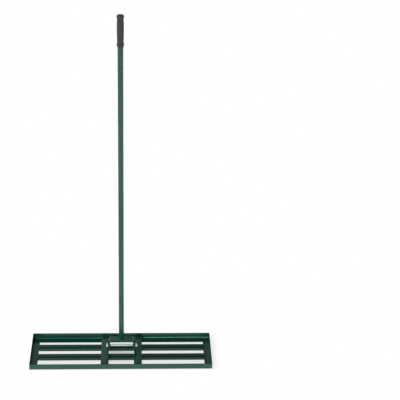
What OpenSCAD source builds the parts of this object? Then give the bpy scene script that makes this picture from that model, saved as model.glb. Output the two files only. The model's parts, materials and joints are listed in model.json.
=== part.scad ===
// Lawn leveling rake: a slotted steel frame that is dragged over the ground, with a long
// two-piece handle that swings on one cross bolt between two lugs.
// Lengths are millimetres. The origin lies on the ground under the middle of the frame.
// X runs along the frame's width, -Y is the front and +Z is up. The handle is drawn upright.

/* [Frame] */
// Outer width of the frame
frame_width = 914.4; // [700:0.1:1200]
// Outer depth of the frame from front to back
frame_depth = 254; // [240:0.1:300]
// Height of the rail walls above the ground
wall_height = 33.5; // [28:0.5:40]
// Sheet thickness of the rails
rail_sheet = 2.5; // [2:0.1:3]
// Width of a rail's flange, measured from the wall's outer face
flange_width = 36; // [30:0.5:40]
// Radius inside the rail's fold
fold_radius = 2.5; // [1.5:0.1:4]

/* [Cross bars] */
// Distance between the middles of the two bars
bar_spacing = 75; // [65:0.5:85]
// Width of a bar
bar_width = 33; // [30:0.5:40]
// Height of a bar's crown above the ground
crown_height = 19; // [17:0.5:22]
// Sheet thickness of the bars
bar_sheet = 2; // [1.5:0.1:2.5]
// Outside radius over the middle of a bar
crown_radius = 90; // [60:1:120]
// Outside radius of a bar's two shoulders
shoulder_radius = 3.5; // [3:0.1:6]

/* [Straps and lugs] */
// Clear distance between the two straps
strap_gap = 127; // [110:0.5:150]
// Width of a strap
strap_width = 40; // [30:0.5:50]
// Thickness of a strap
strap_thickness = 3; // [2:0.1:4]
// Distance from a flange's inner edge to the outside of the strap's bent end on it
strap_reach = 13; // [10:0.5:15]
// Distance by which the straps sit ahead of the frame's middle
strap_shift = 9; // [0:0.5:9.5]
// Radius inside a strap's two bends
strap_bend = 2; // [1:0.5:4]
// Length of a lug's foot on its strap
lug_base = 112; // [90:1:140]
// Thickness of a lug
lug_thickness = 5; // [4:0.1:6]
// Radius of a lug's round top
lug_radius = 29; // [22:0.5:30]

/* [Pivot] */
// Height of the bolt's axis above the ground
pivot_height = 55; // [55:0.5:70]
// Diameter of the bolt's shank
bolt_diameter = 10; // [8:0.1:12]
// Width of the bolt head and nut across flats
hex_width = 17; // [15:0.1:19]
// Height of the bolt head
head_height = 6.4; // [5:0.1:8]
// Height of the nut
nut_height = 8.4; // [7:0.1:10]
// Length of bolt that stands out of the nut
bolt_tail = 3; // [1:0.1:6]
// Diameter of the washers under the head and the nut
washer_diameter = 21; // [20:0.1:26]
// Thickness of those washers
washer_thickness = 2; // [1:0.1:3]
// Diameter of the spacers between the yoke and the lugs
spacer_diameter = 24; // [20:0.1:28]
// Thickness of those spacers
spacer_thickness = 1.2; // [0.8:0.1:2]
// Free space between a spacer and the yoke
side_clearance = 0.3; // [0.3:0.05:0.6]
// Radial clearance where the yoke turns on the bolt
running_clearance = 0.05; // [0.02:0.01:0.1]
// Radial clearance of the holes that the bolt only passes through
bolt_clearance = 0.2; // [0.1:0.05:0.4]
// Radial clearance of the plain bores that stand for threads
thread_clearance = 0.05; // [0.02:0.01:0.1]

/* [Yoke] */
// Width of the yoke's strip from front to back
yoke_width = 40; // [34:0.5:44]
// Thickness of the strip
yoke_sheet = 4; // [3:0.1:5]
// Height of the yoke's top face above the bolt's axis
yoke_rise = 41; // [36:0.5:60]
// Radius inside the yoke's two bends
yoke_bend = 4; // [2:0.5:8]

/* [Handle] */
// Height of the whole rake above the ground
overall_height = 1829; // [1500:1:2100]
// Height of the joint between the two tubes
joint_height = 950; // [800:1:1050]
// Outside diameter of both tubes
tube_diameter = 25.4; // [22:0.1:26]
// Wall thickness of both tubes
tube_wall = 1.5; // [1.2:0.1:2.5]

/* [Tube joint] */
// Length of the stud's plug in the lower tube
plug_length = 35; // [25:0.5:50]
// Diameter of the stud's screw
screw_diameter = 14; // [10:0.1:16]
// Length of the stud's screw
screw_length = 30; // [20:0.5:40]
// Length of the threaded socket in the upper tube
socket_length = 40; // [36:0.5:60]
// Depth of the free space past the screw's tip
socket_spare = 4; // [2:0.5:8]
// Radial clearance of the plug and the socket in the tubes
press_clearance = 0.05; // [0.02:0.01:0.1]

/* [Grip] */
// Length of the grip
grip_length = 147.5; // [130:0.5:180]
// Thickness of the grip's closed top
grip_cap = 5; // [3:0.1:8]
// Height of the flange at the grip's top
grip_flange_height = 13.8; // [10:0.1:16]
// Diameter of that flange and of the lower ring
grip_flange = 32.6; // [31.8:0.1:36]
// Diameter of the grip's flat top
grip_top = 23; // [20:0.1:28]
// Height of the groove under the flange
grip_groove_height = 6; // [3:0.1:9]
// Diameter of the groove
grip_groove = 28.8; // [28.4:0.1:30]
// Diameter of the grip's hand part at its thickest
grip_body = 31.4; // [30.5:0.1:31.6]
// Diameter of the grip's hand part just above the lower ring
grip_waist = 29; // [28.5:0.1:30.2]
// Height of the lower ring
grip_ring_height = 11.5; // [8:0.1:14]
// Height of the neck below the ring
grip_neck_height = 6; // [3:0.1:10]
// Diameter of the neck
grip_neck = 27; // [26.4:0.1:28.3]
// Radial clearance between the grip and the tube
grip_clearance = 0; // [0:0.01:0.1]

/* [Hidden] */
// Names of the sub-parts, and the one to draw
// Steps of a full circle
round_steps = 96;
// Corners of a hex head
hex_corners = 6;
// Length by which a cut runs past the solid it cuts
cut_overrun = 1;
// Share of the grip's hand part above its thickest place, and at its waist
grip_share = 0.3;
waist_share = 0.92;
// Share of a ring's or flange's height that is chamfer at each end
chamfer_share = 0.2;
// Colours of paint, plated steel, plain steel and moulded grip
paint = [0.05, 0.2, 0.15];
zinc = [0.75, 0.76, 0.78];
steel = [0.5, 0.5, 0.52];
moulding = [0.08, 0.08, 0.08];

// Rail fold
outer_fold = fold_radius + rail_sheet;
// Bars: half width, centre heights of the crown and shoulder arcs, and length
bar_half = bar_width / 2;
crown_centre = crown_height - crown_radius;
arc_offset = bar_half - shoulder_radius;
arc_distance = crown_radius - shoulder_radius;
shoulder_height = crown_centre + sqrt(arc_distance * arc_distance - arc_offset * arc_offset);
wedge_top = crown_height + cut_overrun;
wedge_half = arc_offset * (wedge_top - crown_centre) / (shoulder_height - crown_centre);
bar_length = frame_width - 2 * flange_width;
// Straps and lugs
strap_half = frame_depth / 2 - flange_width + strap_reach;
strap_outer_bend = strap_bend + strap_thickness;
strap_middle = (strap_gap + strap_width) / 2;
strap_top = crown_height + strap_thickness;
lug_rise = pivot_height - strap_top;
lug_half = lug_base / 2;
tangent_angle = atan2(-lug_rise, lug_half) + acos(lug_radius / norm([lug_half, lug_rise]));
tangent_y = lug_radius * cos(tangent_angle);
tangent_z = pivot_height + lug_radius * sin(tangent_angle);
// Stack along the bolt, from the lug's inner face outward
lug_inner = strap_gap / 2;
lug_outer = lug_inner + lug_thickness;
washer_outer = lug_outer + washer_thickness;
bolt_end = washer_outer + nut_height + bolt_tail;
hex_corner_diameter = hex_width / cos(180 / hex_corners);
// Yoke
yoke_half = lug_inner - spacer_thickness - side_clearance;
yoke_top = pivot_height + yoke_rise;
yoke_round = yoke_width / 2;
yoke_foot = pivot_height - yoke_round;
yoke_outer_bend = yoke_bend + yoke_sheet;
// Tubes and the pieces inside them
tube_radius = tube_diameter / 2;
tube_bore = tube_radius - tube_wall;
tube_top = overall_height - grip_cap;
insert_radius = tube_bore - press_clearance;
screw_radius = screw_diameter / 2;
// Grip heights from its foot up
grip_foot = overall_height - grip_length;
ring_foot = grip_foot + grip_neck_height;
ring_top = ring_foot + grip_ring_height;
flange_foot = overall_height - grip_flange_height;
groove_foot = flange_foot - grip_groove_height;
hand_length = groove_foot - ring_top;
thick_height = groove_foot - grip_share * hand_length;
waist_height = groove_foot - waist_share * hand_length;

// Section of a rail in its own plane: wall up, flange inward, round fold between them
module rail_section() {
    translate([0, outer_fold])
        square([rail_sheet, wall_height - outer_fold]);
    translate([outer_fold, 0])
        square([flange_width - outer_fold, rail_sheet]);
    intersection() {
        translate([outer_fold, outer_fold])
            difference() {
                circle(r = outer_fold, $fn = round_steps);
                circle(r = fold_radius, $fn = round_steps);
            }
        square([outer_fold, outer_fold]);
    }
}

// One rail along X with its outer face on y = 0, its ends mitred to meet its neighbours
module rail(length) {
    mitre_depth = flange_width + cut_overrun;
    mitre_half = length / 2;
    color(paint)
        intersection() {
            rotate([90, 0, 90])
                linear_extrude(height = length, center = true)
                    rail_section();
            translate([0, 0, -cut_overrun])
                linear_extrude(height = wall_height + 2 * cut_overrun)
                    polygon([
                        [-mitre_half - cut_overrun, -cut_overrun],
                        [mitre_half + cut_overrun, -cut_overrun],
                        [mitre_half - mitre_depth, mitre_depth],
                        [-mitre_half + mitre_depth, mitre_depth]
                    ]);
        }
}

module front_rail() {
    translate([0, -frame_depth / 2, 0])
        rail(frame_width);
}

module rear_rail() {
    rotate([0, 0, 180])
        front_rail();
}

module left_rail() {
    translate([-frame_width / 2, 0, 0])
        rotate([0, 0, -90])
            rail(frame_depth);
}

module right_rail() {
    rotate([0, 0, 180])
        left_rail();
}

// Filled section of a bar, set in from its outside by one distance: an arc over the crown,
// a tighter arc on each shoulder and two legs down to the foot height
module arch(inset, foot) {
    half = bar_half - inset;
    intersection() {
        union() {
            translate([-half, foot])
                square([2 * half, shoulder_height - foot]);
            for (side = [-1, 1])
                translate([side * arc_offset, shoulder_height])
                    circle(r = shoulder_radius - inset, $fn = round_steps);
            intersection() {
                translate([0, crown_centre])
                    circle(r = crown_radius - inset, $fn = round_steps);
                polygon([[0, crown_centre], [wedge_half, wedge_top], [-wedge_half, wedge_top]]);
            }
        }
        translate([-half, foot])
            square([2 * half, wedge_top - foot]);
    }
}

// One arched bar that stands on the ground between the end rails' flanges
module bar() {
    color(paint)
        rotate([90, 0, 90])
            linear_extrude(height = bar_length, center = true)
                difference() {
                    arch(0, 0);
                    arch(bar_sheet, -cut_overrun);
                }
}

module front_bar() {
    translate([0, -bar_spacing / 2, 0])
        bar();
}

module rear_bar() {
    translate([0, bar_spacing / 2, 0])
        bar();
}

// Filled outline of a strip that is bent down at both ends, set in from its outside by one distance
module bridge_outline(outer_half, outer_top, outer_foot, inset, bend) {
    half = outer_half - inset;
    top = outer_top - inset;
    foot = outer_foot - inset;
    translate([-half, foot])
        square([2 * half, top - bend - foot]);
    translate([bend - half, foot])
        square([2 * (half - bend), top - foot]);
    for (side = [-1, 1])
        translate([side * (half - bend), top - bend])
            circle(r = bend, $fn = round_steps);
}

// Strap that lies flat on the bars' crowns, its bent ends standing on the rails' flanges
module strap(start) {
    color(paint)
        translate([start, -strap_shift, 0])
            rotate([90, 0, 90])
                linear_extrude(height = strap_width)
                    difference() {
                        bridge_outline(strap_half, strap_top, rail_sheet, 0, strap_outer_bend);
                        bridge_outline(strap_half, strap_top, rail_sheet, strap_thickness, strap_bend);
                    }
}

module right_strap() {
    strap(strap_middle - strap_width / 2);
}

module left_strap() {
    strap(-strap_middle - strap_width / 2);
}

// Cylinder along X between two places on the bolt's axis
module along_bolt(from, to, radius, corners) {
    translate([from, 0, pivot_height])
        rotate([0, 90, 0])
            cylinder(h = to - from, r = radius, $fn = corners);
}

// Ring on the bolt's axis
module bolt_ring(from, to, radius) {
    difference() {
        along_bolt(from, to, radius, round_steps);
        along_bolt(from - cut_overrun, to + cut_overrun,
            bolt_diameter / 2 + bolt_clearance, round_steps);
    }
}

// Upright plate on a strap's inner edge, round about the bolt
module right_lug() {
    color(paint)
        difference() {
            union() {
                along_bolt(lug_inner, lug_outer, lug_radius, round_steps);
                translate([lug_inner, 0, 0])
                    rotate([90, 0, 90])
                        linear_extrude(height = lug_thickness)
                            polygon([
                                [-lug_half, strap_top],
                                [lug_half, strap_top],
                                [tangent_y, tangent_z],
                                [-tangent_y, tangent_z]
                            ]);
            }
            along_bolt(lug_inner - cut_overrun, lug_outer + cut_overrun,
                bolt_diameter / 2 + bolt_clearance, round_steps);
        }
}

module left_lug() {
    rotate([0, 0, 180])
        right_lug();
}

// Hex bolt through both lugs, its head on the left
module pivot_bolt() {
    color(zinc) {
        along_bolt(-washer_outer, bolt_end, bolt_diameter / 2, round_steps);
        along_bolt(-washer_outer - head_height, -washer_outer, hex_corner_diameter / 2, hex_corners);
    }
}

module pivot_nut() {
    color(zinc)
        difference() {
            along_bolt(washer_outer, washer_outer + nut_height, hex_corner_diameter / 2, hex_corners);
            along_bolt(washer_outer - cut_overrun, bolt_end,
                bolt_diameter / 2 + thread_clearance, round_steps);
        }
}

module bolt_washers() {
    color(zinc)
        for (turn = [0, 180])
            rotate([0, 0, turn])
                bolt_ring(lug_outer, washer_outer, washer_diameter / 2);
}

module arm_spacers() {
    color(zinc)
        for (turn = [0, 180])
            rotate([0, 0, turn])
                bolt_ring(lug_inner - spacer_thickness, lug_inner, spacer_diameter / 2);
}

// Bent strip with two arms that turn on the bolt and a flat top under the tube
module yoke() {
    arm_length = yoke_half + cut_overrun;
    color(paint)
        difference() {
            intersection() {
                rotate([90, 0, 0])
                    linear_extrude(height = yoke_width, center = true)
                        difference() {
                            bridge_outline(yoke_half, yoke_top, yoke_foot, 0, yoke_outer_bend);
                            bridge_outline(yoke_half, yoke_top, yoke_foot, yoke_sheet, yoke_bend);
                        }
                union() {
                    along_bolt(-arm_length, arm_length, yoke_round, round_steps);
                    translate([-arm_length, -yoke_round - cut_overrun, pivot_height])
                        cube([2 * arm_length, yoke_width + 2 * cut_overrun, yoke_rise + cut_overrun]);
                }
            }
            along_bolt(-arm_length, arm_length,
                bolt_diameter / 2 + running_clearance, round_steps);
        }
}

// Upright round tube between two heights
module tube(foot, top) {
    color(paint)
        translate([0, 0, foot])
            difference() {
                cylinder(h = top - foot, r = tube_radius, $fn = round_steps);
                translate([0, 0, -cut_overrun])
                    cylinder(h = top - foot + 2 * cut_overrun, r = tube_bore, $fn = round_steps);
            }
}

module lower_tube() {
    tube(yoke_top, joint_height);
}

module upper_tube() {
    tube(joint_height, tube_top);
}

// Plug fixed in the lower tube with a screw that stands out of it
module joint_stud() {
    color(steel)
        translate([0, 0, joint_height]) {
            translate([0, 0, -plug_length])
                cylinder(h = plug_length, r = insert_radius, $fn = round_steps);
            cylinder(h = screw_length, r = screw_radius, $fn = round_steps);
        }
}

// Bush fixed in the upper tube that takes the screw
module joint_socket() {
    color(steel)
        translate([0, 0, joint_height])
            difference() {
                cylinder(h = socket_length, r = insert_radius, $fn = round_steps);
                translate([0, 0, -cut_overrun])
                    cylinder(h = screw_length + socket_spare + cut_overrun,
                        r = screw_radius + thread_clearance, $fn = round_steps);
            }
}

// Moulded sleeve over the upper tube's end, closed at its top
module grip() {
    flange_chamfer = chamfer_share * grip_flange_height;
    ring_chamfer = chamfer_share * grip_ring_height;
    bore = tube_radius + grip_clearance;
    color(moulding)
        rotate_extrude($fn = round_steps)
            polygon([
                [bore, grip_foot],
                [grip_neck / 2, grip_foot],
                [grip_neck / 2, ring_foot],
                [grip_flange / 2, ring_foot + ring_chamfer],
                [grip_flange / 2, ring_top - ring_chamfer],
                [grip_waist / 2, ring_top],
                [grip_waist / 2, waist_height],
                [grip_body / 2, thick_height],
                [grip_groove / 2, groove_foot],
                [grip_groove / 2, flange_foot],
                [grip_flange / 2, flange_foot + flange_chamfer],
                [grip_flange / 2, overall_height - flange_chamfer],
                [grip_top / 2, overall_height],
                [0, overall_height],
                [0, tube_top],
                [bore, tube_top]
            ]);
}

front_rail();
rear_rail();
left_rail();
right_rail();
front_bar();
rear_bar();
left_strap();
right_strap();
left_lug();
right_lug();
pivot_bolt();
pivot_nut();
bolt_washers();
arm_spacers();
yoke();
lower_tube();
upper_tube();
joint_stud();
joint_socket();
grip();
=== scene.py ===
# %% [markdown]
# # Lawn leveling rake
# A wide frame of folded sheet steel that is pushed and pulled over loose soil on a long handle in
# two parts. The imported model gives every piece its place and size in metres. This script keeps that
# frame, puts finer surfaces where the plain solids are, adds welds, paint, plating and rubber, and
# sets up light and camera as for a product picture.

# %% Load the frame
import json
import math

import bmesh
import bpy
import numpy as np
from mathutils import Matrix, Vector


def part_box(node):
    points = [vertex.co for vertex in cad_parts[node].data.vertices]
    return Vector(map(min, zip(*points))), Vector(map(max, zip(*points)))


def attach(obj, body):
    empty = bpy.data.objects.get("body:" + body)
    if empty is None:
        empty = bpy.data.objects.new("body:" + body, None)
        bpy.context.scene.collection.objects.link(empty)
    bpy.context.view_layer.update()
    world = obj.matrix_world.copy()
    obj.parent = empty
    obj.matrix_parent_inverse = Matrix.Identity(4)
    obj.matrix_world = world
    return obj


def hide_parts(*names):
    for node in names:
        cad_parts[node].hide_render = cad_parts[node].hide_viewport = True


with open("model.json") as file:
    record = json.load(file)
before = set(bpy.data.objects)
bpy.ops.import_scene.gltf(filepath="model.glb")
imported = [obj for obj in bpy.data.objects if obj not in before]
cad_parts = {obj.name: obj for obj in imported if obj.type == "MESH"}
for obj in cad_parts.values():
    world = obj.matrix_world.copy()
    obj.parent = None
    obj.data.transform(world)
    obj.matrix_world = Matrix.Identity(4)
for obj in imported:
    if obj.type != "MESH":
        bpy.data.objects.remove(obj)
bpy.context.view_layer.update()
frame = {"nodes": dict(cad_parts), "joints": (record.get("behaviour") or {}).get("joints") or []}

# %% [markdown]
# ## The camera
# The picture was taken from a little right of the middle, well above the frame, with a long lens.
# Yaw, pitch and roll were fitted to the frame's corners, the slots and the handle's axis. The
# camera's matrix is put together from its three directions, so nothing has to be tracked or turned.

# %% Camera
view_point = np.array([0.0624, -4.3692, 3.4919])
yaw, pitch, roll = np.radians([4.048, 30.475, 2.268])
ahead = np.array([math.sin(yaw) * math.cos(pitch), math.cos(yaw) * math.cos(pitch), -math.sin(pitch)])
level = np.array([math.cos(yaw), -math.sin(yaw), 0.0])
upright = np.cross(level, ahead)
right_hand = math.cos(roll) * level + math.sin(roll) * upright
head_up = math.cos(roll) * upright - math.sin(roll) * level

picture_camera = bpy.data.objects.new("picture_camera", bpy.data.cameras.new("picture_camera"))
picture_camera.data.sensor_width = 36.0
picture_camera.data.lens = 97.056
picture_camera.data.clip_end = 60.0
stand = np.eye(4)
stand[:3, :4] = np.column_stack([right_hand, head_up, -ahead, view_point])
picture_camera.matrix_world = Matrix(stand.tolist())
bpy.context.scene.collection.objects.link(picture_camera)
bpy.context.scene.camera = picture_camera
print("camera looks along", ahead.round(4))

# %% [markdown]
# ## Writing shader maths as Python
# A finish is a small network of nodes. Wiring them by hand hides the idea, so one class wraps a
# node's output and lets it be added, multiplied or subtracted like a number. Every other node comes
# from its `node` method: type, settings, then the values or links of its sockets.

# %% Shader wires
class Wire:
    """One output of a shader node. Arithmetic on it adds Math nodes to the same tree."""

    def __init__(self, tree, socket=None):
        self.tree = tree
        self.socket = socket

    def node(self, kind, settings=None, sockets=None, output=0):
        """Adds a node: settings first, then socket values or links, and returns one output."""
        made = self.tree.nodes.new(kind)
        for key, value in (settings or {}).items():
            if key == "stops":
                for number, (place, colour) in enumerate(value):
                    stops = made.color_ramp.elements
                    stop = stops[number] if number < 2 else stops.new(place)
                    stop.position = place
                    stop.color = colour
            else:
                setattr(made, key, value)
        for key, value in (sockets or {}).items():
            if isinstance(value, Wire):
                self.tree.links.new(value.socket, made.inputs[key])
            else:
                made.inputs[key].default_value = value
        return Wire(self.tree, None if output is None else made.outputs[output])

    def math(self, operation, first, second):
        """Any Math node on two values or links."""
        return self.node("ShaderNodeMath", {"operation": operation}, {0: first, 1: second})

    def __add__(self, other):
        return self.math("ADD", self, other)

    def __radd__(self, other):
        return self.math("ADD", other, self)

    def __sub__(self, other):
        return self.math("SUBTRACT", self, other)

    def __rsub__(self, other):
        return self.math("SUBTRACT", other, self)

    def __mul__(self, other):
        return self.math("MULTIPLY", self, other)

    def __rmul__(self, other):
        return self.math("MULTIPLY", other, self)

    def mixed(self, first, second):
        """Colour that goes from the first to the second as this mask goes from 0 to 1."""
        return self.node("ShaderNodeMix", {"data_type": "RGBA"}, {0: self, 6: first, 7: second}, 2)

    def span(self, low, high, start, end):
        """This value moved from the range low to high into start to end, softly, and held there."""
        return self.node("ShaderNodeMapRange", {"interpolation_type": "SMOOTHSTEP"},
                         {0: self, 1: low, 2: high, 3: start, 4: end})


print("shader wires ready")

# %% Finish helpers
def noise(place, scale, detail=2.0, roughness=0.5):
    """Soft random pattern with about `scale` lumps a metre."""
    return place.node("ShaderNodeTexNoise", None,
                      {"Vector": place, "Scale": scale, "Detail": detail, "Roughness": roughness})


def new_finish(name):
    """Empty material and the piece's own Object coordinates to draw on."""
    material = bpy.data.materials.new(name)
    material.use_nodes = True
    material.node_tree.nodes.clear()
    tree = Wire(material.node_tree)
    return material, tree.node("ShaderNodeTexCoord", output="Object")


def close_finish(place, shader):
    """Joins the finished shader to the material's output."""
    place.node("ShaderNodeOutputMaterial", None, {"Surface": shader}, None)


print("finish helpers ready")

# %% [markdown]
# ## Green powder coat
# The frame and the handle are baked in a deep green powder coat. It is glossy, a little lumpy like
# orange peel, paler on sharp edges, and never quite even. The lumps are a fine bump. The edge mask
# compares the surface's own normal with a normal that the Bevel node has softened: they part only
# near an edge. Attributes on the mesh mark where light and shade are painted into the coat: a pale
# painted highlight along the rear rail's fold, painted light on that rail's wall and on the tops of
# the yoke and the left strap, and painted shade on the bars and in the groove at the tubes' lips.
# Most vary a little from left to right, and the painted highlight in the fold climbs that way by a
# few millimetres.

# %% Patterns in the coat
green_paint, place = new_finish("green_powder_coat")
clouds = noise(place, 9.0, 3.0)
grains = noise(place, 160.0, 2.0)
peel = noise(place, 420.0, 2.0, 0.45)
flat_normal = place.node("ShaderNodeNewGeometry", output="Normal")
soft_normal = place.node("ShaderNodeBevel", {"samples": 4}, {"Radius": 0.0011})
agreement = place.node("ShaderNodeVectorMath", {"operation": "DOT_PRODUCT"},
                       {0: soft_normal, 1: flat_normal}, "Value")
rub = (1.0 - agreement).span(0.03, 0.22, 0.0, 1.0) * grains.span(0.35, 0.7, 0.25, 1.0)
sideways, height = (place.node("ShaderNodeSeparateXYZ", None, {0: place}, way) for way in "XZ")


def face_mark(place, name):
    """Value that the mesh keeps for each of its faces, and zero where it keeps none."""
    return place.node("ShaderNodeAttribute", {"attribute_name": name}, output="Fac")


def left_to_right(sideways, left, right):
    """Value that passes from the rake's left half to its right half."""
    return sideways.span(-0.2, 0.2, left, right)


print("patterns in the coat:", len(green_paint.node_tree.nodes), "nodes")

# %% Coat colour
coat_colour = clouds.span(0.3, 0.7, 0.0, 1.0).mixed((0.0026, 0.0580, 0.0372, 1.0),
                                                   (0.0034, 0.0640, 0.0418, 1.0))
coat_colour = grains.span(0.3, 0.7, 0.0, 0.25).mixed(coat_colour, (0.0050, 0.0690, 0.0470, 1.0))
coat_colour = (rub * 0.25).mixed(coat_colour, (0.020, 0.105, 0.080, 1.0))
# Painted highlight: a pale line along the rear rail's fold, stronger towards the right, in place of a
# reflection.
drifted = height - sideways.span(-0.45, 0.15, -0.0027, 0.0014)
fold_band = drifted.span(0.0020, 0.0026, 0.0, 1.0) * drifted.span(0.0066, 0.0078, 1.0, 0.0)
painted_fold_highlight = face_mark(place, "painted_fold_highlight") * fold_band * left_to_right(sideways, 0.30, 1.0)
painted_fold_highlight = painted_fold_highlight * grains.span(0.2, 0.6, 0.95, 1.0)
# Painted shade: darker green on the bars' tops and sides and in the tubes' seam groove, deeper towards
# the right.
painted_shade = face_mark(place, "painted_shade") * left_to_right(sideways, 0.45, 0.65)
coat_colour = painted_shade.mixed(coat_colour, (0.0008, 0.0180, 0.0110, 1.0))
# Painted light: the rear rail's inner wall is painted paler, more towards the right.
painted_wall_light = face_mark(place, "painted_wall_light") * left_to_right(sideways, 0.30, 0.55)
# Painted light: paler green on the level tops of the yoke and the left strap, added to the wall's.
painted_light = face_mark(place, "painted_light") + painted_wall_light
painted_light = painted_light * grains.span(0.3, 0.7, 0.8, 1.0)
coat_colour = painted_light.mixed(coat_colour, (0.024, 0.101, 0.077, 1.0))
coat_colour = painted_fold_highlight.mixed(coat_colour, (0.20, 0.38, 0.335, 1.0))
print("coat colour:", len(green_paint.node_tree.nodes), "nodes so far")

# %% Coat surface
coat_rough = 0.13 + clouds * 0.05 + grains * 0.05 + rub * 0.08
coat_normal = place.node("ShaderNodeBump", None,
                         {"Strength": 0.10, "Distance": 0.0004, "Height": peel})
close_finish(place, place.node("ShaderNodeBsdfPrincipled", None, {
    "Base Color": coat_colour, "Roughness": coat_rough, "Normal": coat_normal,
    "IOR": 1.5, "Coat Weight": 0.15, "Coat Roughness": 0.08, "Coat IOR": 1.5}))
print("green_paint:", len(green_paint.node_tree.nodes), "nodes")

# %% [markdown]
# ## Bright zinc
# Bolt, nut, washers and spacers are zinc plated, under a whitish film: pale, faintly bluish grey and
# only partly mirror bright, with a soft sparkle of crystals and fine drag lines. A stretched noise
# gives the lines, a cell pattern gives the crystals.

# %% Bright zinc
zinc_plate, place = new_finish("bright_zinc")
long_place = place.node("ShaderNodeMapping", None, {"Vector": place, "Scale": (160.0, 900.0, 900.0)})
drag_lines = noise(long_place, 1.0, 2.0)
crystals = place.node("ShaderNodeTexVoronoi", None, {"Vector": place, "Scale": 900.0}, "Distance")
haze = noise(place, 60.0, 3.0)
zinc_colour = haze.span(0.3, 0.7, 0.0, 1.0).mixed((0.84, 0.85, 0.87, 1.0), (0.93, 0.94, 0.94, 1.0))
zinc_rough = 0.24 + haze * 0.10 + drag_lines * 0.08
zinc_normal = place.node("ShaderNodeBump", None, {
    "Strength": 0.12, "Distance": 0.0002, "Height": crystals * 0.4 + drag_lines * 0.6})
close_finish(place, place.node("ShaderNodeBsdfPrincipled", None, {
    "Base Color": zinc_colour, "Roughness": zinc_rough, "Metallic": 0.3, "Normal": zinc_normal}))
print("zinc_plate:", len(zinc_plate.node_tree.nodes), "nodes")

# %% [markdown]
# ## Turned steel
# The plug and the bush inside the tubes are bare turned steel. A lathe leaves rings across the
# axis, so the pattern is squeezed along the height and left wide the other way.

# %% Turned steel
plain_steel, place = new_finish("turned_steel")
ring_place = place.node("ShaderNodeMapping", None, {"Vector": place, "Scale": (4.0, 4.0, 2400.0)})
tool_rings = noise(ring_place, 1.0, 2.0)
oil_film = noise(place, 45.0, 3.0)
steel_colour = oil_film.span(0.35, 0.65, 0.0, 1.0).mixed((0.40, 0.39, 0.37, 1.0),
                                                       (0.52, 0.52, 0.51, 1.0))
steel_rough = 0.26 + oil_film * 0.14 + tool_rings * 0.08
steel_normal = place.node("ShaderNodeBump", None,
                          {"Strength": 0.20, "Distance": 0.0002, "Height": tool_rings})
close_finish(place, place.node("ShaderNodeBsdfPrincipled", None, {
    "Base Color": steel_colour, "Roughness": steel_rough, "Metallic": 1.0,
    "Normal": steel_normal}))
print("plain_steel:", len(plain_steel.node_tree.nodes), "nodes")

# %% [markdown]
# ## Grip rubber
# The sleeve is a charcoal rubber moulding. A spark eroded mould leaves a dull stipple under a
# millimetre wide, and hands leave slightly smoother, paler patches. The closed end is painted paler
# still, as painted light from above.

# %% Grip rubber
grip_rubber, place = new_finish("moulded_rubber")
stipple = noise(place, 1100.0, 2.0, 0.6)
handled = noise(place, 28.0, 3.0)
rubber_colour = handled.span(0.35, 0.65, 0.0, 1.0).mixed((0.030, 0.030, 0.030, 1.0),
                                                        (0.038, 0.038, 0.038, 1.0))
rubber_colour = stipple.span(0.35, 0.65, 0.0, 0.35).mixed(rubber_colour, (0.050, 0.050, 0.050, 1.0))
grip_end = float(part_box("grip")[1][2])
end_light_start, end_light_full = 0.0065, 0.0020
height = place.node("ShaderNodeSeparateXYZ", None, {0: place}, "Z")
# Painted light: the grip's closed end is painted paler.
painted_end_light = height.span(grip_end - end_light_start, grip_end - end_light_full, 0.0, 1.0)
painted_end_light = painted_end_light * stipple.span(0.3, 0.7, 0.75, 1.0)
rubber_colour = painted_end_light.mixed(rubber_colour, (0.085, 0.085, 0.085, 1.0))
rubber_rough = 0.60 + stipple * 0.16 - handled * 0.10
rubber_normal = place.node("ShaderNodeBump", None,
                           {"Strength": 0.35, "Distance": 0.0004, "Height": stipple})
close_finish(place, place.node("ShaderNodeBsdfPrincipled", None, {
    "Base Color": rubber_colour, "Roughness": rubber_rough, "Normal": rubber_normal}))
print("grip_rubber:", len(grip_rubber.node_tree.nodes), "nodes")

# %% [markdown]
# ## Building surfaces from rings
# Every piece of this rake is a profile carried along a path: a rail is a folded section carried
# along its length, a tube a small section carried round an axis. So a piece is an array of rings,
# and the faces are the quads between one ring and the next. The ends are capped, or the last ring
# joins the first. The signed volume says whether the faces look outward, and turns them if not.

# %% Rings to mesh
def skin_faces(rings, joined):
    """Quads between neighbouring rings, plus a cap on each end unless the rings join up."""
    rows, points = rings.shape[:2]
    row, spot = np.meshgrid(np.arange(rows if joined else rows - 1), np.arange(points), indexing="ij")
    next_row, next_spot = (row + 1) % rows, (spot + 1) % points
    quads = np.stack([row * points + spot, row * points + next_spot,
                      next_row * points + next_spot, next_row * points + spot], axis=-1)
    quads = quads.reshape(-1, 4)
    corners = rings.reshape(-1, 3)
    halves = np.concatenate([quads[:, [0, 1, 2]], quads[:, [0, 2, 3]]])
    faces = quads.tolist()
    if not joined:
        first, last = np.arange(points)[::-1], (rows - 1) * points + np.arange(points)
        faces += [first.tolist(), last.tolist()]
        fans = [np.stack([np.full(points - 2, cap[0]), cap[1:-1], cap[2:]], axis=1)
                for cap in (first, last)]
        halves = np.concatenate([halves, *fans])
    a, b, c = (corners[halves[:, k]] for k in range(3))
    volume = np.einsum("ij,ij->i", a, np.cross(b, c)).sum() / 6.0
    if volume < 0.0:
        faces = [face[::-1] for face in faces]
    return faces, abs(volume)


unit_square = np.array([(0.0, 0.0), (1.0, 0.0), (1.0, 1.0), (0.0, 1.0)])
unit_cube = np.stack([np.insert(unit_square, 2, floor, axis=1) for floor in (0.0, 1.0)])
cube_faces, cube_volume = skin_faces(unit_cube, False)
print(f"a unit cube: {len(cube_faces)} faces, volume {cube_volume:.3f}")

# %% Pieces and their faces
sharp_corner, sharp_bead = 32.0, 80.0


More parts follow.
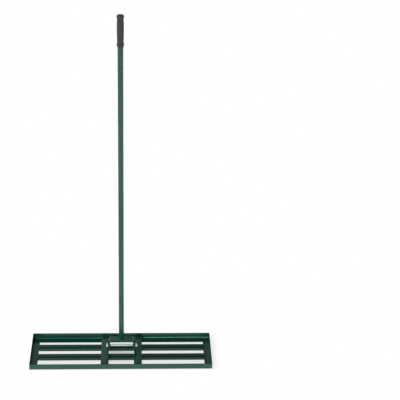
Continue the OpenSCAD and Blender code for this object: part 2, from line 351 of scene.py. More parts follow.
def put_piece(name, skins, body, finish, nodes=(), sharp=sharp_corner):
    """Mesh object from (rings, joined) skins, riding on a body and standing for CAD nodes."""
    points, faces, volume, start = [], [], 0.0, 0
    for rings, joined in skins:
        made, amount = skin_faces(rings, joined)
        faces += [[start + corner for corner in face] for face in made]
        points.append(rings.reshape(-1, 3))
        start += rings.shape[0] * rings.shape[1]
        volume += amount
    mesh = bpy.data.meshes.new(name)
    mesh.from_pydata(np.concatenate(points).tolist(), [], faces)
    merged = bmesh.new()
    merged.from_mesh(mesh)
    bmesh.ops.remove_doubles(merged, verts=merged.verts, dist=1e-6)
    merged.to_mesh(mesh)
    merged.free()
    mesh.polygons.foreach_set("use_smooth", np.ones(len(mesh.polygons), dtype=bool))
    mesh.set_sharp_from_angle(angle=math.radians(sharp))
    mesh.materials.append(finish)
    mesh.validate()
    piece = bpy.data.objects.new(name, mesh)
    bpy.context.scene.collection.objects.link(piece)
    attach(piece, body)
    if nodes:
        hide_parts(*nodes)
    print(f"{name}: {len(mesh.polygons)} faces, {volume * 1e6:.2f} cm3")
    return piece


def face_values(piece, key):
    """Three values for each face of a piece: its normal or its centre."""
    values = np.empty(len(piece.data.polygons) * 3)
    piece.data.polygons.foreach_get(key, values)
    return values.reshape(-1, 3)


def mark_faces(piece, name, values):
    """Keeps one value for each face, for the paint to read."""
    piece.data.attributes.new(name, "FLOAT", "FACE").data.foreach_set("value", values)
    print(f"{piece.name}: {name} on {int((values > 0.0).sum())} faces")


print("edges are sharp from", sharp_corner, "degrees, on beads from", sharp_bead)

# %% Rounded outlines
def rounded_loop(corners, radii, steps=6):
    """Closed outline with every corner swapped for an arc. The arc touches both sides where its
    radius over the tangent of half the corner's angle has been laid off, and turns between them."""
    corners = np.asarray(corners, dtype=float)
    radii = np.broadcast_to(np.asarray(radii, dtype=float), len(corners))
    back = np.roll(corners, 1, axis=0) - corners
    forth = np.roll(corners, -1, axis=0) - corners
    back /= np.linalg.norm(back, axis=1, keepdims=True)
    forth /= np.linalg.norm(forth, axis=1, keepdims=True)
    half = 0.5 * np.arccos(np.clip((back * forth).sum(axis=1), -1.0, 1.0))
    bisector = (back + forth) / np.linalg.norm(back + forth, axis=1, keepdims=True)
    centre = corners + bisector * (radii / np.sin(half))[:, None]
    first = corners + back * (radii / np.tan(half))[:, None] - centre
    last = corners + forth * (radii / np.tan(half))[:, None] - centre
    turn = (np.pi - 2.0 * half)[:, None, None]
    share = np.linspace(0.0, 1.0, steps)[None, :, None]
    arcs = (np.sin((1.0 - share) * turn) * first[:, None] + np.sin(share * turn) * last[:, None])
    return (centre[:, None] + arcs / np.sin(turn)).reshape(-1, 2)


print("a rounded square:", len(rounded_loop(unit_square, 0.1)), "points")

# %% [markdown]
# ## The four rails
# Each rail is one strip of sheet folded to an L: a wall on the outside and a flange on the ground.
# Carrying the folded section along the rail and stopping each of its points at half the length less
# its own depth cuts both ends at 45 degrees, so the four rails close into a frame without a gap.

# %% Rails
rail_low, rail_high = (np.array(corner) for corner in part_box("front_rail"))
frame_half = np.array([rail_high[0], -rail_low[1]])
wall_height = rail_high[2]
flange_width = rail_high[1] - rail_low[1]
rail_sheet, fold_radius, cut_edge = 0.0025, 0.0025, 0.0007

rail_section = rounded_loop(
    [(0.0, 0.0), (flange_width, 0.0), (flange_width, rail_sheet),
     (rail_sheet, rail_sheet), (rail_sheet, wall_height), (0.0, wall_height)],
    [fold_radius + rail_sheet, cut_edge, cut_edge, fold_radius, cut_edge, cut_edge], 9)


def rail_rings(turn, half_length, half_across):
    """The section at both ends: along = plus or minus (half length less depth), depth inward."""
    depth, height = rail_section.T
    along = np.array([-1.0, 1.0])[:, None] * (half_length - depth)[None, :]
    out = np.broadcast_to(half_across - depth, along.shape)
    return np.stack([along * math.cos(turn) + out * math.sin(turn),
                     along * math.sin(turn) - out * math.cos(turn),
                     np.broadcast_to(height, along.shape)], axis=-1)


folded = {}
for rail, quarter in (("front_rail", 0), ("right_rail", 1), ("rear_rail", 2), ("left_rail", 3)):
    half_length, half_across = frame_half[quarter % 2], frame_half[1 - quarter % 2]
    folded[rail] = put_piece(
        rail.replace("rail", "folded_rail"),
        [(rail_rings(quarter * math.pi / 2, half_length, half_across), False)],
        "head", green_paint, [rail])

# %% [markdown]
# ## Painted light in the rear rail
# A pale line along the rear rail's fold is a painted highlight, and the wall above it is painted a
# little paler as painted light. The fold's faces lie at the fold radius from its centre line, and the
# wall's faces look forward above it.

# %% Rear rail paint
near = 5e-5
middles = face_values(folded["rear_rail"], "center")
fold_centre = np.array([frame_half[1], 0.0]) + np.array([-1.0, 1.0]) * (fold_radius + rail_sheet)
from_centre = middles[:, 1:] - fold_centre
in_fold = np.abs(np.linalg.norm(from_centre, axis=1) - fold_radius) < near
in_fold = in_fold & (from_centre[:, 1] < 0.0) | (np.abs(from_centre[:, 0] - fold_radius) < near)
# The fold's faces carry the painted highlight, the wall's faces the painted light.
mark_faces(folded["rear_rail"], "painted_fold_highlight", in_fold * 1.0)
looks_forward = face_values(folded["rear_rail"], "normal")[:, 1] < -0.9
inner_wall = looks_forward & (middles[:, 2] > rail_sheet + fold_radius)
mark_faces(folded["rear_rail"], "painted_wall_light", inner_wall * 1.0)

# %% [markdown]
# ## The two leveling bars
# Seen from the end a bar is a low bridge of sheet: two upright sides on the ground, small round
# shoulders and a nearly flat crown. The outline is three arcs that pass smoothly into each other, and
# the inside is the same outline one sheet further in. Painted shade makes the crown the deepest green,
# and the sides a little darker too.

# %% Bars
bar_low, bar_high = (np.array(corner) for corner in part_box("rear_bar"))
bar_half, bar_top, bar_foot = (bar_high[1] - bar_low[1]) / 2, bar_high[2], bar_low[2]
bar_end = bar_high[0]
bar_middle = (bar_high[1] + bar_low[1]) / 2
bar_sheet, crown_radius, shoulder_radius = 0.002, 0.090, 0.0035
shoulder_out = bar_half - shoulder_radius
crown_centre = bar_top - crown_radius
shoulder_up = crown_centre + math.sqrt((crown_radius - shoulder_radius) ** 2 - shoulder_out ** 2)
meeting = math.atan2(shoulder_up - crown_centre, shoulder_out)


def arch_line(inset):
    """Half arch angles 0 to `meeting` lie on the shoulder, the rest on the crown, then mirrored."""
    low_turn = np.linspace(0.0, meeting, 14)
    high_turn = np.linspace(meeting, math.pi / 2, 12)[1:]
    across = np.concatenate([[bar_half - inset],
                             shoulder_out + (shoulder_radius - inset) * np.cos(low_turn),
                             (crown_radius - inset) * np.cos(high_turn)])
    height = np.concatenate([[bar_foot],
                             shoulder_up + (shoulder_radius - inset) * np.sin(low_turn),
                             crown_centre + (crown_radius - inset) * np.sin(high_turn)])
    half = np.stack([across, height], axis=1)
    return np.concatenate([half, (half * [-1.0, 1.0])[-2::-1]])


bar_section = np.concatenate([arch_line(0.0), arch_line(bar_sheet)[::-1]])


def bar_rings(middle):
    """The arch at the two ends of the bar."""
    rings = np.empty((2, len(bar_section), 3))
    rings[..., 0] = np.array([-bar_end, bar_end])[:, None]
    rings[..., 1] = middle + bar_section[:, 0]
    rings[..., 2] = bar_section[:, 1]
    return rings


side_shade = 0.3
for bar, middle in (("front_bar", -bar_middle), ("rear_bar", bar_middle)):
    arched = put_piece(bar.replace("bar", "leveling_bar"), [(bar_rings(middle), False)],
                       "head", green_paint, [bar])
    # Painted shade: full on the bars' up-facing faces, a share on their sides.
    looks_up = np.clip(face_values(arched, "normal")[:, 2], 0.0, 1.0)
    mark_faces(arched, "painted_shade", side_shade + (1.0 - side_shade) * looks_up)

# %% [markdown]
# ## The two straps
# A strap is a flat strip bent down at both ends: it lies on the bars' crowns and its ends stand on
# the rails' flanges, a little ahead of the frame's middle. A drawn flat bar has slightly round edges,
# so its section is a rectangle with rounded corners. The section is carried along the strip's middle
# line and set square to it. The left strap's top is painted a little paler than the right one's, as
# painted light.

# %% Straps
strap_low, strap_high = (np.array(corner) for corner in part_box("right_strap"))
strap_sheet, strap_bend, strap_edge = 0.003, 0.002, 0.0009


def bent_line(half, top, foot, bend):
    """Middle line of a strip from one foot over the top to the other foot, with the lean of its
    normal: upright legs, a quarter circle at each bend, and a straight top between them."""
    turn = np.linspace(0.0, math.pi / 2, 13)
    across = np.concatenate([[half], half - bend * (1.0 - np.cos(turn))])
    height = np.concatenate([[foot], top - bend * (1.0 - np.sin(turn))])
    lean = np.concatenate([[0.0], turn])
    return (np.concatenate([across, -across[::-1]]), np.concatenate([height, height[::-1]]),
            np.concatenate([lean, math.pi - lean[::-1]]))


def strap_rings(side):
    """Rounded rectangle, one strap wide and one sheet deep, along the middle line."""
    strap_half = (strap_high[1] - strap_low[1]) / 2
    along, height, lean = bent_line(strap_half - strap_sheet / 2, strap_high[2] - strap_sheet / 2,
                                    strap_low[2], strap_bend + strap_sheet / 2)
    along = along + (strap_high[1] + strap_low[1]) / 2
    wide, deep = rounded_loop([(strap_low[0], -strap_sheet / 2), (strap_high[0], -strap_sheet / 2),
                               (strap_high[0], strap_sheet / 2), (strap_low[0], strap_sheet / 2)],
                              strap_edge, 5).T
    return np.stack([np.broadcast_to(side * wide, (len(along), len(wide))),
                     along[:, None] + np.cos(lean)[:, None] * deep,
                     height[:, None] + np.sin(lean)[:, None] * deep], axis=-1)


left_bent = put_piece("left_bent_strap", [(strap_rings(-1.0), False)],
                      "head", green_paint, ["left_strap"])
put_piece("right_bent_strap", [(strap_rings(1.0), False)], "head", green_paint, ["right_strap"])


def paint_light_on_top(piece, amount):
    """Marks the faces that look up with how much painted light they get."""
    nearly_level = face_values(piece, "normal")[:, 2] > 0.7
    mark_faces(piece, "painted_light", amount * nearly_level)


# Painted light on the left strap's top.
paint_light_on_top(left_bent, 0.45)

# %% [markdown]
# ## The two lugs
# Each lug is a thick plate with a wide foot on the strap and a round head about the bolt. From the
# bolt's axis every point of its outline can be seen, so the outline is one distance for each angle:
# the round head above, the sloping side that touches it, or the foot line, whichever comes first.
# A thin band with round edges is then carried round between the bolt hole and that outline.

# %% Lugs
lug_low, lug_high = (np.array(corner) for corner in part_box("right_lug"))
pivot_height = float(frame["joints"][0]["pos_m"][2])
lug_radius, bolt_hole, lug_edge = lug_high[2] - pivot_height, 0.0052, 0.0008
lug_half, lug_drop = lug_high[1], pivot_height - lug_low[2]
touch = math.acos(lug_radius / math.hypot(lug_half, lug_drop)) - math.atan2(lug_drop, lug_half)


def lug_reach(angle):
    """Distance from the bolt's axis to the lug's edge in each direction."""
    across, up = np.abs(np.cos(angle)), np.sin(angle)
    side = lug_radius / np.maximum(np.cos(np.arctan2(up, across) - touch), 1e-6)
    head = np.where(np.arctan2(up, across) > touch, lug_radius, side)
    foot = np.where(up < -1e-6, lug_drop / np.maximum(-up, 1e-6), 1.0)
    return np.minimum(head, foot)


def lug_rings(side):
    """Band from hole to edge: share of the way out and place in the thickness, round both ways."""
    corner = math.atan2(lug_drop, lug_half)
    even = np.linspace(-math.pi, math.pi, 145)[:-1]
    angle = np.unique(np.concatenate([even, [-corner, corner - math.pi]]))
    reach = lug_reach(angle)
    band = rounded_loop([(0.0, 0.0), (1.0, 0.0), (1.0, 1.0), (0.0, 1.0)], 1e-4, 4)
    ease = np.array([(1, 1), (-1, 1), (-1, -1), (1, -1)]).repeat(4, axis=0)
    turn = np.tile(np.linspace(0.0, math.pi / 2, 4), 4)
    depth_first = np.array([False, True, False, True]).repeat(4)
    out_ease = lug_edge * np.where(depth_first, 1.0 - np.sin(turn), 1.0 - np.cos(turn))
    depth_ease = lug_edge * np.where(depth_first, 1.0 - np.cos(turn), 1.0 - np.sin(turn))
    outer, deep = band[:, 0] > 0.5, band[:, 1] > 0.5
    out = np.where(outer[None, :], reach[:, None], bolt_hole) + ease[:, 0] * out_ease
    thick = np.where(deep, lug_high[0], lug_low[0]) + ease[:, 1] * depth_ease
    return np.stack([np.broadcast_to(side * thick, out.shape), out * np.cos(angle)[:, None],
                     pivot_height + out * np.sin(angle)[:, None]], axis=-1)


put_piece("left_pivot_lug", [(lug_rings(-1.0), True)], "head", green_paint, ["left_lug"])
put_piece("right_pivot_lug", [(lug_rings(1.0), True)], "head", green_paint, ["right_lug"])

# %% [markdown]
# ## Bolt, nut, washers and spacers
# All are turned about the bolt's axis. A ring of radii at every place along it is enough: round ones
# have one radius, a hexagon has a radius that follows its six flats, and a bolt head is the smaller
# of a hexagon and a cone, which is what draws the curved chamfer on real heads.

# %% Rings about the bolt
bolt_low, bolt_high = (np.array(corner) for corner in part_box("pivot_bolt"))
nut_low, nut_high = (np.array(corner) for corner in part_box("pivot_nut"))
washer_low, washer_high = (np.array(corner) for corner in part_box("bolt_washers"))
spacer_high = np.array(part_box("arm_spacers")[1])
bolt_radius, thread_play, flats = 0.005, 5e-5, (nut_high[1] - nut_low[1]) / 2
spokes = 96
around = np.linspace(0.0, 2.0 * math.pi, spokes + 1)[:-1]
hexagon = flats / np.cos((around + math.pi / 6) % (math.pi / 3) - math.pi / 6)


def turned(places, radii):
    """Rings about the bolt's axis: one place along X and a radius for each angle."""
    radii = np.broadcast_to(radii, (len(places), len(around)))
    return np.stack([np.broadcast_to(np.asarray(places)[:, None], radii.shape), radii * np.cos(around),
                     pivot_height + radii * np.sin(around)], axis=-1)


def even_ring(radius, rows=1):
    """Round rings of one radius."""
    return np.full((rows, spokes), radius)


def thread(places, crest, depth, pitch):
    """Radius of a screw thread: a V that climbs one pitch with every turn."""
    climb = (places[:, None] / pitch - around[None, :] / (2.0 * math.pi)) % 1.0
    return crest - depth * np.abs(2.0 * climb - 1.0)


print(f"hexagon: {2e3 * flats:.1f} mm over flats, {2e3 * hexagon.max():.1f} mm over corners")

# %% Bolt
seat, seat_step, seat_radius = washer_low[0], 0.0004, flats * 0.96
thread_depth, thread_pitch, thread_step, bore_chamfer = 0.0006, 0.0015, 0.0001, 0.0006
tip_radius, tip_length, tip_slope, tip_play = 0.0040, 0.0016, 0.8, 0.0002
head_cone, head_face, cone_of_nut = 0.93, 0.86, 0.95
cone_in, cone_slope = np.linspace(0.0, 0.0016, 9), 1.75
cone = np.minimum((flats * head_cone + cone_in * cone_slope)[:, None], hexagon)
head_radii = [even_ring(0.0), even_ring(flats * head_face), cone, hexagon[None],
              even_ring(seat_radius, 2)]
head_places = [[bolt_low[0]] * 2, bolt_low[0] + cone_in, [seat - seat_step] * 2, [seat]]
screw_places = np.arange(nut_high[0] - 2 * bore_chamfer, bolt_high[0] - thread_depth, thread_step)
into_tip = np.clip(screw_places - bolt_high[0] + tip_length, 0, 1)
tip_cone = (bolt_radius + tip_play - into_tip * tip_slope)[:, None]
screw = np.minimum(thread(screw_places, bolt_radius, thread_depth, thread_pitch), tip_cone)
bolt_radii = np.concatenate([*head_radii, even_ring(bolt_radius, 2), screw,
                             even_ring(tip_radius), even_ring(0.0)])
bolt_places = np.concatenate([*head_places, [seat, screw_places[0]], screw_places, [bolt_high[0]] * 2])
put_piece("hex_pivot_bolt", [(turned(bolt_places, bolt_radii), False)],
          "head", zinc_plate, ["pivot_bolt"])

# %% Nut
nut_cone = np.minimum((flats * cone_of_nut + cone_in * cone_slope)[:, None], hexagon)
nut_places = np.concatenate([[nut_low[0]], nut_low[0] + cone_in, (nut_high[0] - cone_in)[::-1],
                             [nut_high[0]] * 2, [nut_high[0] - bore_chamfer],
                             [nut_low[0] + bore_chamfer, nut_low[0]]])
bore = bolt_radius + thread_play
nut_radii = np.concatenate([even_ring(bore + 2 * bore_chamfer), nut_cone, nut_cone[::-1],
                            even_ring(bore + 2 * bore_chamfer), even_ring(bore + bore_chamfer),
                            even_ring(bore, 2), even_ring(bore + bore_chamfer)])
put_piece("hex_pivot_nut", [(turned(nut_places, nut_radii), True)], "head", zinc_plate, ["pivot_nut"])

# %% Washers and spacers
def washer(inner_face, outer_face, radius, edge):
    """Flat ring: a rounded rectangle of place and radius, carried once about the bolt."""
    section = rounded_loop([(inner_face, bolt_hole), (outer_face, bolt_hole),
                            (outer_face, radius), (inner_face, radius)], edge, 5)
    return turned(section[:, 0], section[:, 1][:, None])


def washer_pair(near_face, far_face, radius, edge):
    """The same washer on the right and, mirrored, on the left."""
    return [(washer(near_face, far_face, radius, edge), True),
            (washer(-far_face, -near_face, radius, edge), True)]


washer_radius, spacer_radius = washer_high[2] - pivot_height, spacer_high[2] - pivot_height
washer_edge, spacer_edge, spacer_sheet = 0.0004, 0.0003, 0.0012
put_piece("flat_bolt_washers", washer_pair(lug_high[0], washer_high[0], washer_radius, washer_edge),
          "head", zinc_plate, ["bolt_washers"])
put_piece("thin_arm_spacers",
          washer_pair(spacer_high[0] - spacer_sheet, spacer_high[0], spacer_radius, spacer_edge),
          "head", zinc_plate, ["arm_spacers"])

# %% [markdown]
# ## The yoke
# One strip of thick sheet, bent to a square arch. Its section, a flat rectangle with round edges,
# is carried up one arm, round the bend, along the top and down the other arm. Towards each arm's
# end the width follows a circle about the bolt, so the arms end round. The bolt holes are cut with
# a Boolean modifier, because a strip with holes is no longer one simple grid. The flat top is painted
# paler, as painted light.

# %% Yoke
yoke_high = np.array(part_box("yoke")[1])
yoke_sheet, yoke_bend, yoke_edge, yoke_half_width = 0.004, 0.004, 0.0009, yoke_high[1]
middle_out, middle_up = yoke_high[0] - yoke_sheet / 2, yoke_high[2] - yoke_sheet / 2
bend_middle = yoke_bend + yoke_sheet / 2


def yoke_path():
    """Half of the strip's middle line from the arm's tip to the top: place, normal, half width."""
    tip, tip_width = np.linspace(math.pi / 2, 0.0, 22), 2e-5
    bend = np.linspace(0.0, math.pi / 2, 13)
    across = np.concatenate([np.full(len(tip), middle_out),
                             middle_out - bend_middle * (1 - np.cos(bend)), [0.0]])
    height = np.concatenate([pivot_height - yoke_half_width * np.sin(tip),
                             middle_up - bend_middle * (1 - np.sin(bend)), [middle_up]])
    lean = np.concatenate([np.zeros(len(tip)), bend, [math.pi / 2]])
    width = np.concatenate([np.maximum(yoke_half_width * np.cos(tip), tip_width),
                            np.full(len(bend) + 1, yoke_half_width)])
    return across, height, lean, width


def yoke_rings():
    """Rounded rectangle, wide along Y and one sheet thick, set square to the middle line."""
    across, height, lean, width = yoke_path()
    across = np.concatenate([across, -across[-2::-1]])
    height = np.concatenate([height, height[-2::-1]])
    lean = np.concatenate([lean, math.pi - lean[-2::-1]])
    width = np.concatenate([width, width[-2::-1]])
    unit = np.array([(1, -1), (1, 1), (-1, 1), (-1, -1)]).repeat(4, axis=0)
    quarter_turn = np.tile(np.linspace(0.0, math.pi / 2, 4), 4)
    turn = quarter_turn + np.arange(4).repeat(4) * math.pi / 2 - math.pi / 2
    edge = np.minimum(yoke_edge, width)[:, None]
    wide = unit[:, 0] * (width[:, None] - edge) + edge * np.cos(turn)
    deep = unit[:, 1] * (yoke_sheet / 2 - edge) + edge * np.sin(turn)
    return np.stack([across[:, None] + deep * np.cos(lean)[:, None], wide,
                     height[:, None] + deep * np.sin(lean)[:, None]], axis=-1)


print("yoke: middle line of", len(yoke_rings()), "rings")

# %% Bend and drill the yoke
yoke_strip = put_piece("bent_yoke", [(yoke_rings(), False)], "handle", green_paint, ["yoke"])
drill_mesh, drill_half = bpy.data.meshes.new("drill"), 0.08
drill_rings = turned([-drill_half, drill_half], even_ring(bolt_radius + thread_play, 2))
drill_mesh.from_pydata(drill_rings.reshape(-1, 3).tolist(), [], skin_faces(drill_rings, False)[0])
drill = bpy.data.objects.new("drill", drill_mesh)
bpy.context.scene.collection.objects.link(drill)
cut = yoke_strip.modifiers.new("bolt_holes", "BOOLEAN")
cut.object, cut.operation, cut.solver = drill, "DIFFERENCE", "EXACT"
worked_out = bpy.context.evaluated_depsgraph_get()
drilled = bpy.data.meshes.new_from_object(yoke_strip.evaluated_get(worked_out))
yoke_strip.modifiers.clear()
yoke_strip.data = drilled
bpy.data.objects.remove(drill)
drilled.set_sharp_from_angle(angle=math.radians(sharp_corner))
print("bent_yoke drilled:", len(drilled.polygons), "faces")
# Painted light on the yoke's flat top.
paint_light_on_top(yoke_strip, 1.0)

# %% [markdown]
# ## The handle's two tubes
# A tube is a thin upright rectangle carried round the handle's axis. Where the two tubes meet their
# edges are broken by a file. Painted shade darkens the faces there, so the fine groove half way up is
# dark.

# %% Tubes
lower_low, lower_high = (np.array(corner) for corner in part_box("lower_tube"))
upper_low, upper_high = (np.array(corner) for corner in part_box("upper_tube"))
tube_radius, tube_wall = lower_high[0], 0.0015
plain_edge, bore_edge, filed_edge, seam_shade = 2e-4, 1e-4, 0.0013, 1.8


def lathe(section, steps=96):
    """Section of radius and height, carried once round the handle's axis."""
    turn = np.linspace(0.0, 2.0 * math.pi, steps + 1)[:-1, None]
    radius, height = section[:, 0][None, :], section[:, 1][None, :]
    return np.stack([radius * np.cos(turn), radius * np.sin(turn),
                     np.broadcast_to(height, (steps, len(section)))], axis=-1)


def tube_rings(foot, top, foot_edge, top_edge):
    """Upright rectangle from bore to outside, with its own rounding at foot and top."""
    bore_radius = tube_radius - tube_wall
    return lathe(rounded_loop([(bore_radius, foot), (tube_radius, foot), (tube_radius, top),
                               (bore_radius, top)], [bore_edge, foot_edge, top_edge, bore_edge], 6))


for tube, foot, top, foot_edge, top_edge in (
        ("lower_tube", lower_low[2], lower_high[2], plain_edge, filed_edge),
        ("upper_tube", upper_low[2], upper_high[2], filed_edge, plain_edge)):
    drawn = put_piece(tube.replace("tube", "handle_tube"),
                      [(tube_rings(foot, top, foot_edge, top_edge), True)],
                      "handle", green_paint, [tube])
    # Painted shade on the faces at the seam, so the groove is dark.
    from_seam = np.abs(face_values(drawn, "center")[:, 2] - upper_low[2])
    mark_faces(drawn, "painted_shade", seam_shade * (from_seam < filed_edge))

# %% [markdown]
# ## The grip
# A closed rubber sleeve. From the top down its outline has a flange, a groove, a hand part that
# swells and narrows again, a ring that stops the hand and a short neck. The outline's corners are
# rounded, each by its own radius, and the outline is carried round the axis.

# %% Grip
grip_low, grip_high = (np.array(corner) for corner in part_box("grip"))
foot, top = grip_low[2], grip_high[2]
grip_outline = rounded_loop(
    [(0.0, top - 0.005), (tube_radius, top - 0.005), (tube_radius, foot), (0.0135, foot),
     (0.0135, foot + 0.006), (0.0163, foot + 0.0083), (0.0163, foot + 0.0152), (0.0145, foot + 0.0175),
     (0.0145, foot + 0.0267), (0.0157, top - 0.0495), (0.0144, top - 0.0200), (0.0144, top - 0.0140),
     (0.0163, top - 0.0118), (0.0163, top - 0.0032), (0.0113, top - 0.0003), (0.0, top)],
    [1e-5, 2e-4, 2e-4, 0.0005, 0.0009, 0.0012, 0.0012, 0.0012,
     0.20, 0.60, 0.010, 0.0012, 0.0012, 0.0022, 0.008, 1e-5], 10)
grip_outline[:, 0] = np.maximum(grip_outline[:, 0], 0.0)
put_piece("rubber_grip", [(lathe(grip_outline), True)], "handle", grip_rubber, ["grip"])

# %% [markdown]
# ## Weld beads
# The frame is welded before it is painted, so every bead is green. A fillet bead fills the corner
# between two plates. At each step along the seam a quarter fan reaches from one plate to the other,
# swelled a little in the middle and combed by the ripples that the torch leaves behind.

# %% Bead surface
bead_root, bead_swell, bead_bow = 0.0003, 0.16, 0.35
ripple_share, wander_share, wander_rate, wander_start = 0.05, 0.04, 410.0, 97.0


def bead(path, side_a, side_b, leg, ripple=0.0016, joined=False):
    """Reach = straight chord between the legs, times a swell, times ripples that bow forward in the
    middle of the fan, and a slow wander that starts elsewhere on each seam. Open beads run out to
    nothing over one leg at each end."""
    path = np.asarray(path, dtype=float)
    side_a, side_b = (np.broadcast_to(np.asarray(side, dtype=float), path.shape)
                      for side in (side_a, side_b))
    steps = np.linalg.norm(np.diff(path, axis=0), axis=1)
    run = np.concatenate([[0.0], np.cumsum(steps)])
    fan = np.linspace(0.0, math.pi / 2, 9)
    reach = leg / (np.cos(fan) + np.sin(fan)) * (1.0 + bead_swell * np.sin(2.0 * fan))
    phase = 2.0 * math.pi * (run[:, None] + bead_bow * leg * np.sin(2.0 * fan)) / ripple
    wander = np.sin(run[:, None] * wander_rate + path[:1, :1] * wander_start)
    comb = 1.0 + ripple_share * np.sin(phase) + wander_share * wander
    from_end = np.minimum(run, run[-1] - run)
    ends = np.ones_like(run) if joined else np.sqrt(np.clip(from_end / leg, 1e-3, 1.0))
    reach = reach * comb * ends[:, None]
    face = (path[:, None] + reach[..., None] * (np.cos(fan)[None, :, None] * side_a[:, None]
                                                + np.sin(fan)[None, :, None] * side_b[:, None]))
    root = path - bead_root * ends[:, None] * (side_a + side_b)
    return np.concatenate([face, root[:, None]], axis=1)


def seam(start, end, step=0.0004):
    """Straight run of places from one end of a seam to the other."""
    start, end = np.asarray(start, dtype=float), np.asarray(end, dtype=float)
    count = max(12, int(np.linalg.norm(end - start) / step))
    return start + (end - start) * np.linspace(0.0, 1.0, count)[:, None]


print("bead of 10 mm:", bead(seam((0, 0, 0), (0.01, 0, 0)), (0, 1, 0), (0, 0, 1), 0.003).shape)

# %% Frame welds
right, up, back_way = np.eye(3)[0], np.eye(3)[2], np.eye(3)[1]
inside = frame_half - rail_sheet
signs = [(x, y) for x in (-1.0, 1.0) for y in (-1.0, 1.0)]
corner_leg, corner_top = 0.0032, wall_height - 0.0015
corner_seams = [(bead(seam((x * inside[0], y * inside[1], rail_sheet),
                           (x * inside[0], y * inside[1], corner_top)),
                      -x * right, -y * back_way, corner_leg), False) for x, y in signs]
put_piece("corner_welds", corner_seams, "head", green_paint, sharp=sharp_bead)

bar_leg, from_side, past_side = 0.0034, bar_half - 0.0012, bar_half + 0.0026
bar_seams = [(bead(seam((x * bar_end, m + s * from_side, rail_sheet),
                        (x * bar_end, m + s * past_side, rail_sheet)),
                   x * right, up, bar_leg), False)
             for x in (-1.0, 1.0) for m in (-bar_middle, bar_middle) for s in (-1.0, 1.0)]
put_piece("bar_end_welds", bar_seams, "head", green_paint, sharp=sharp_bead)

# %% Strap and lug welds
foot_leg, foot_short, crossing_leg, crossing_half = 0.0036, 0.001, 0.0030, 0.008
foot_place = {-1.0: strap_low[1], 1.0: strap_high[1]}
strap_feet = [(bead(seam((x * (strap_low[0] + foot_short), foot_place[y], rail_sheet),
                         (x * (strap_high[0] - foot_short), foot_place[y], rail_sheet)),
                    y * back_way, up, foot_leg), False) for x, y in signs]


def crown_height(offset):
    """Height of a bar's crown at a distance from its middle line."""
    return crown_centre + np.sqrt(crown_radius ** 2 - offset ** 2)


def crossing(x, edge, middle):
    """Seam along a strap's edge over a bar: it follows the crown under the strap."""
    offset = np.linspace(-crossing_half, crossing_half, 40)
    return np.stack([np.full(len(offset), x * edge), middle + offset, crown_height(offset)], axis=1)


strap_crossings = [(bead(crossing(x, edge, m), x * way * right, up, crossing_leg), False)
                   for x in (-1.0, 1.0) for edge, way in ((strap_low[0], -1.0), (strap_high[0], 1.0))
                   for m in (-bar_middle, bar_middle)]
put_piece("strap_welds", strap_feet + strap_crossings, "head", green_paint, sharp=sharp_bead)

side_leg, end_leg, end_in, end_past = 0.0042, 0.0040, 0.0003, 0.002
side_run, end_run = (0.050, 0.016), (lug_low[0] + end_in, lug_high[0] + end_past)
lug_sides = [(bead(seam(*((x * lug_high[0], y * far, lug_low[2]) for far in side_run)),
                   x * right, up, side_leg), False) for x, y in signs]
lug_ends = [(bead(seam(*((x * out, y * lug_half, lug_low[2]) for out in end_run)),
                  y * back_way, up, end_leg), False) for x, y in signs]
put_piece("lug_welds", lug_sides + lug_ends, "head", green_paint, sharp=sharp_bead)

# %% Tube weld
ring_turn = np.linspace(0.0, 2.0 * math.pi, 201)[:-1, None]
ring_out = np.concatenate([np.cos(ring_turn), np.sin(ring_turn), np.zeros_like(ring_turn)], axis=1)
tube_seam = ring_out * tube_radius + [0.0, 0.0, lower_low[2]]
tube_leg, tube_ripple = 0.0022, 2.0 * math.pi * tube_radius / 50
put_piece("tube_foot_weld", [(bead(tube_seam, ring_out, up, tube_leg, tube_ripple, True), True)],
          "handle", green_paint, sharp=sharp_bead)

# %% [markdown]
# ## Carried over solids
# The plug and the bush that join the tubes stay as they are, because they are never seen and their
# shape is right. They only need their finish.

# %% Inside pieces
for inner in ("joint_stud", "joint_socket"):
    frame["nodes"][inner].data.materials.clear()
    frame["nodes"][inner].data.materials.append(plain_steel)
    print(inner, "finished in", plain_steel.name)

# %% [markdown]
# ## Floor
# The rake stands on a plain white floor. To the camera and in reflections the floor shows partly as
# its own light and partly as white. The white has a smaller share inside the frame, just right of it
# and behind it, so the shadows there stay soft and pale, and the open floor comes out white. Under
# the yoke its share is smaller still, in a patch set by position: painted shade there.

# %% Floor
floor_ends = [-14.0, 14.0]
floor_grid = np.stack(np.meshgrid(floor_ends, floor_ends, [0.0], indexing="ij"), axis=-1).reshape(-1, 3)
floor_mesh = bpy.data.meshes.new("studio_floor")
floor_mesh.from_pydata(floor_grid.tolist(), [], [[0, 2, 3, 1]])
studio_floor = bpy.data.objects.new("studio_floor", floor_mesh)
bpy.context.scene.collection.objects.link(studio_floor)

floor_white, place = new_finish("floor_white")
ray = {name: place.node("ShaderNodeLightPath", output=name)
       for name in ("Is Camera Ray", "Is Glossy Ray", "Is Transmission Ray")}
glossy_share, open_fade = 0.8, 8.0
seen = ray["Is Camera Ray"] + ray["Is Glossy Ray"] * glossy_share + ray["Is Transmission Ray"]
seen = place.math("MINIMUM", seen, 1.0)
matt = place.node("ShaderNodeBsdfDiffuse", None, {"Color": (0.90, 0.90, 0.90, 1.0)})
white = place.node("ShaderNodeEmission", None, {"Color": (1.0, 1.0, 1.0, 1.0), "Strength": 1.0})
side_way, depth_way = (place.node("ShaderNodeSeparateXYZ", None, {0: place}, way) for way in "XY")
half_wide, half_deep = frame_half.tolist()
shaded_side = place.math("MAXIMUM", side_way - half_wide, depth_way - half_deep)
open_side = place.math("MAXIMUM", -1.0 * side_way - half_wide, -1.0 * depth_way - half_deep)
apart = place.math("MAXIMUM", shaded_side, open_side * open_fade)
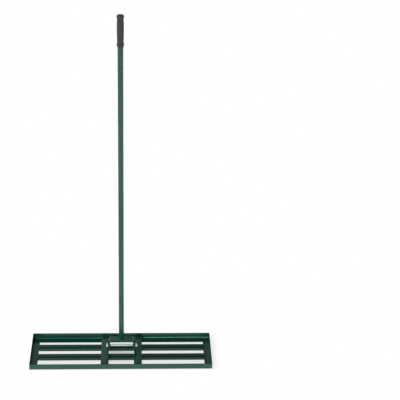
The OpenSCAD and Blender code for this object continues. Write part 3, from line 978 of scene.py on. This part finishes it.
yoke_side, yoke_depth = (place.math("ABSOLUTE", way, 0.0) for way in (side_way, depth_way))
# Painted shade: a patch under the yoke, set by position, cuts the white share and darkens the floor.
yoke_shade = yoke_side.span(0.050, 0.075, 1.0, 0.0) * yoke_depth.span(0.02, 0.11, 0.23, 0.0)
white_share = apart.span(-0.01, 0.055, 0.72, 1.0) - yoke_shade
close_finish(place, place.node("ShaderNodeMixShader", None, {0: seen * white_share, 1: matt, 2: white}))
floor_mesh.materials.append(floor_white)
print("floor laid at 0 m")

# %% [markdown]
# ## Studio light
# Five soft lamps light the rake: a key lamp low at the front left, a wide strip near the ground in
# front, a large one overhead, one behind and a weak one at the right. They are left out of mirror
# images, which show only the room: pale low down at the back with a bright strip above that, dark
# overhead and in front, and brighter to the left. Level faces mirror the back of the room, round
# shoulders the dark ceiling and upright faces the white floor, which gives the paint its depth.

# %% Room
bpy.context.scene.view_settings.view_transform = "Standard"
room = bpy.data.worlds.new("studio_room")
bpy.context.scene.world = room
room.use_nodes = True
room.node_tree.nodes.clear()
sky = Wire(room.node_tree)
direction = sky.node("ShaderNodeTexCoord", output="Generated")
sideways, depth, height = (sky.node("ShaderNodeSeparateXYZ", None, {0: direction}, way)
                           for way in "XYZ")
sweep = sky.math("ARCTAN2", height, depth) * (1.0 / math.pi)
glow = sky.node("ShaderNodeValToRGB", {"stops": [(at, (grey, grey, grey, 1.0)) for at, grey in (
    (0.0, 0.45), (0.09, 0.40), (0.12, 0.12), (0.17, 0.15), (0.20, 0.45), (0.24, 0.34), (0.28, 0.04),
    (0.75, 0.04), (1.0, 0.15))]}, {0: sweep})
left_wall = sideways.span(-0.45, -0.20, 1.0, 0.0)
glow = left_wall.mixed(glow, (0.40, 0.40, 0.40, 1.0))
glow = sky.node("ShaderNodeMix", {"data_type": "RGBA", "blend_type": "MULTIPLY"},
                {0: 1.0, 6: glow, 7: sideways.span(-0.08, 0.08, 1.1, 0.65)}, 2)
to_camera = sky.node("ShaderNodeLightPath", output="Is Camera Ray")
glow = to_camera.mixed(glow, (1.0, 1.0, 1.0, 1.0))
shine = sky.node("ShaderNodeBackground", None, {"Color": glow, "Strength": 1.0})
sky.node("ShaderNodeOutputWorld", None, {"Surface": shine}, None)
print("room:", len(room.node_tree.nodes), "nodes")

# %% Lamps
def soft_lamp(name, stand_point, target, wide, high, power):
    """Flat lamp turned to look at a target. It lights, but is left out of reflections."""
    lamp = bpy.data.lights.new(name, "AREA")
    lamp.shape, lamp.size, lamp.size_y, lamp.energy = "RECTANGLE", wide, high, power
    holder = bpy.data.objects.new(name, lamp)
    toward = np.asarray(target, dtype=float) - np.asarray(stand_point, dtype=float)
    toward /= np.linalg.norm(toward)
    side = np.cross(toward, [0.0, 0.0, 1.0])
    side /= np.linalg.norm(side)
    turn = np.eye(4)
    turn[:3, :4] = np.column_stack([side, np.cross(side, toward), -toward, stand_point])
    holder.matrix_world = Matrix(turn.tolist())
    holder.visible_glossy = False
    bpy.context.scene.collection.objects.link(holder)
    print(f"{name}: {power} W, {wide} m wide")


soft_lamp("key_lamp", (-0.80, -3.80, 1.25), (0.0, 0.0, 0.25), 0.8, 0.8, 82.0)
soft_lamp("ground_lamp", (0.0, -5.0, 0.12), (0.0, 0.0, 0.12), 2.4, 0.16, 59.0)
soft_lamp("top_lamp", (-2.7, -0.5, 7.5), (0.0, 0.0, 0.0), 2.0, 2.0, 155.0)
soft_lamp("back_lamp", (1.6, 3.9, 1.3), (0.0, 0.0, 0.3), 1.2, 1.2, 58.0)
soft_lamp("right_lamp", (3.4, -2.0, 0.9), (0.0, 0.0, 0.3), 1.4, 1.4, 9.0)
